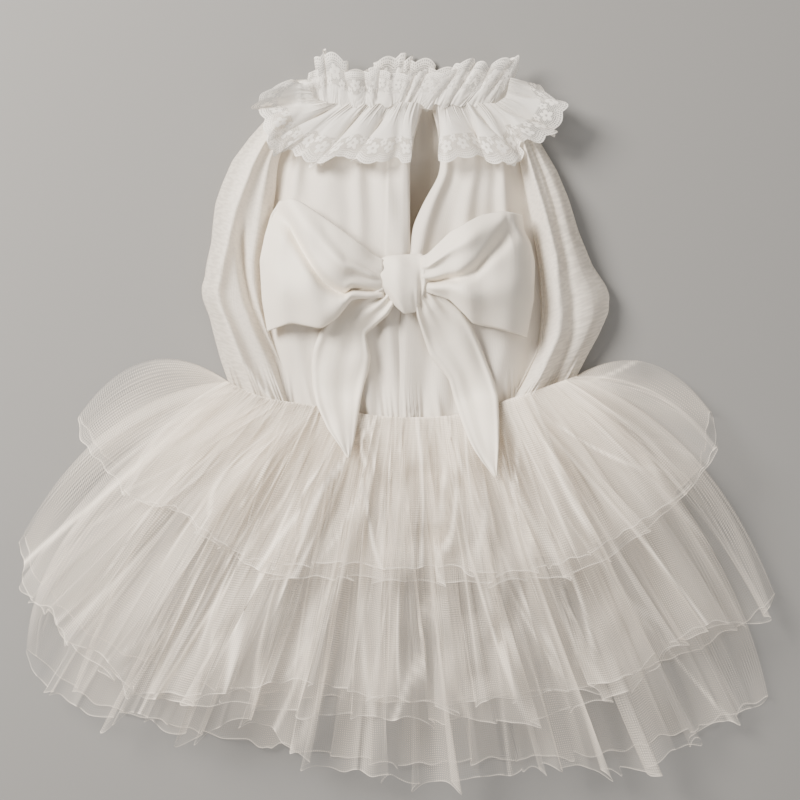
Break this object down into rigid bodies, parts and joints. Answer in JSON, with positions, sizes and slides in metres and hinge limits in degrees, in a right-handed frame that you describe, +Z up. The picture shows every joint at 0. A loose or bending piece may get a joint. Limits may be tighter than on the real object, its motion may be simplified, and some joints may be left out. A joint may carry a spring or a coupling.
{
  "type": "dog dress",
  "caption": "Small dog's party dress lying flat: lace neck frills on elastic, split bodice with puffed sleeves, a bow on the front, and a skirt of tulle tiers",
  "frame": {"origin": "middle of the outline of the dress as it lies, on the floor", "axes": "+X to the right edge of the lying dress as seen from above, +Y from the skirt's hem to the neck, +Z up from the back panel to the bow"},
  "size_m": [0.3796, 0.3732, 0.0538],
  "materials": {
    "chiffon": "matt sheer cream chiffon, fine plain weave, in soft folds",
    "satin": "smooth cream cloth with a soft sheen, hemmed edges",
    "lace": "white floral lace with scalloped edges, gathered on elastic",
    "tulle": "stiff warm-white tulle, fine see-through net in sharp radial pleats"
  },
  "bodies": {
    "root": {"bodice_back": "chiffon", "bodice_front_left": "chiffon", "bodice_front_right": "chiffon", "sleeve_left": "chiffon", "sleeve_right": "chiffon", "neck_elastic": "lace", "upper_frill": "lace", "lower_frill_left": "lace", "lower_frill_right": "lace", "lower_frill_back": "lace", "skirt_tier_long": "tulle", "skirt_tier_mid": "tulle", "skirt_tier_short": "tulle", "bow_loop_left": "satin", "bow_loop_right": "satin", "bow_knot": "satin", "bow_tail_left": "satin", "bow_tail_right": "satin"}
  },
  "joints": []
}
